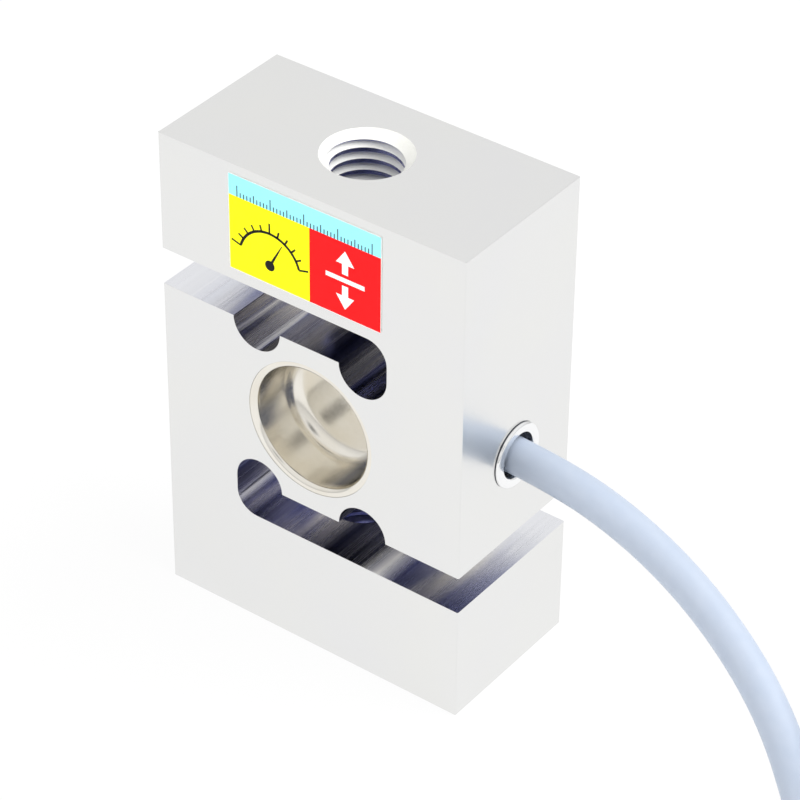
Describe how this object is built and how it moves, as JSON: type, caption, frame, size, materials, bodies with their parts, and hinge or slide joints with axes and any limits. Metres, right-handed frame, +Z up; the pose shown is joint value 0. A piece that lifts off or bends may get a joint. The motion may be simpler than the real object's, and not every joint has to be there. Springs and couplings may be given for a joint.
{
  "type": "s type load cell",
  "caption": "S-shaped tension and compression load cell: a slotted steel block with threaded ends, a bore sealed by cups, a printed label and a cable from its side.",
  "frame": {"origin": "centre of the bottom face, on the load axis", "axes": "+Z up along the load axis through both threaded holes, X across the wide faces with the cable leaving along +X, the labelled front face looks along -Y"},
  "size_m": [0.1871, 0.0741, 0.0762],
  "materials": {
    "steel_satin": "satin ground, nickel plated",
    "steel_polished": "polished",
    "seal_rubber": "matt black rubber",
    "label_print": "printed polyester film",
    "cable_jacket": "smooth extruded jacket",
    "gauge_film": "amber polyimide film",
    "terminal_board": "glass epoxy with tinned pads",
    "copper_wire": "enamelled copper",
    "resistor_body": "lacquered",
    "insulation_red": "extruded",
    "insulation_black": "extruded",
    "insulation_green": "extruded",
    "insulation_white": "extruded",
    "tinned_braid": "tinned copper",
    "tie_nylon": "moulded nylon",
    "heat_shrink": "shrunk polyolefin"
  },
  "bodies": {
    "root": {"body": "steel_satin", "bridge_wire_1": "copper_wire", "bridge_wire_2": "copper_wire", "bridge_wire_3": "copper_wire", "bridge_wire_4": "copper_wire", "bridge_wire_5": "copper_wire", "bridge_wire_6": "copper_wire", "bridge_wire_7": "copper_wire", "bridge_wire_8": "copper_wire", "cable_coil": "cable_jacket", "cable_ferrule": "steel_polished", "cable_lead": "cable_jacket", "cable_seal": "seal_rubber", "cable_tail": "cable_jacket", "coil_tie_a": "tie_nylon", "coil_tie_b": "tie_nylon", "core_black": "insulation_black", "core_green": "insulation_green", "core_red": "insulation_red", "core_white": "insulation_white", "end_sleeve": "heat_shrink", "front_cup": "steel_polished", "gauge_lower_left": "gauge_film", "gauge_lower_right": "gauge_film", "gauge_upper_left": "gauge_film", "gauge_upper_right": "gauge_film", "label": "label_print", "rear_cup": "steel_polished", "resistor_span": "resistor_body", "resistor_zero": "resistor_body", "tail_black": "insulation_black", "tail_green": "insulation_green", "tail_red": "insulation_red", "tail_shield": "tinned_braid", "tail_white": "insulation_white", "terminal_bottom": "terminal_board", "terminal_left": "terminal_board", "terminal_right": "terminal_board", "terminal_top": "terminal_board"}
  },
  "joints": []
}
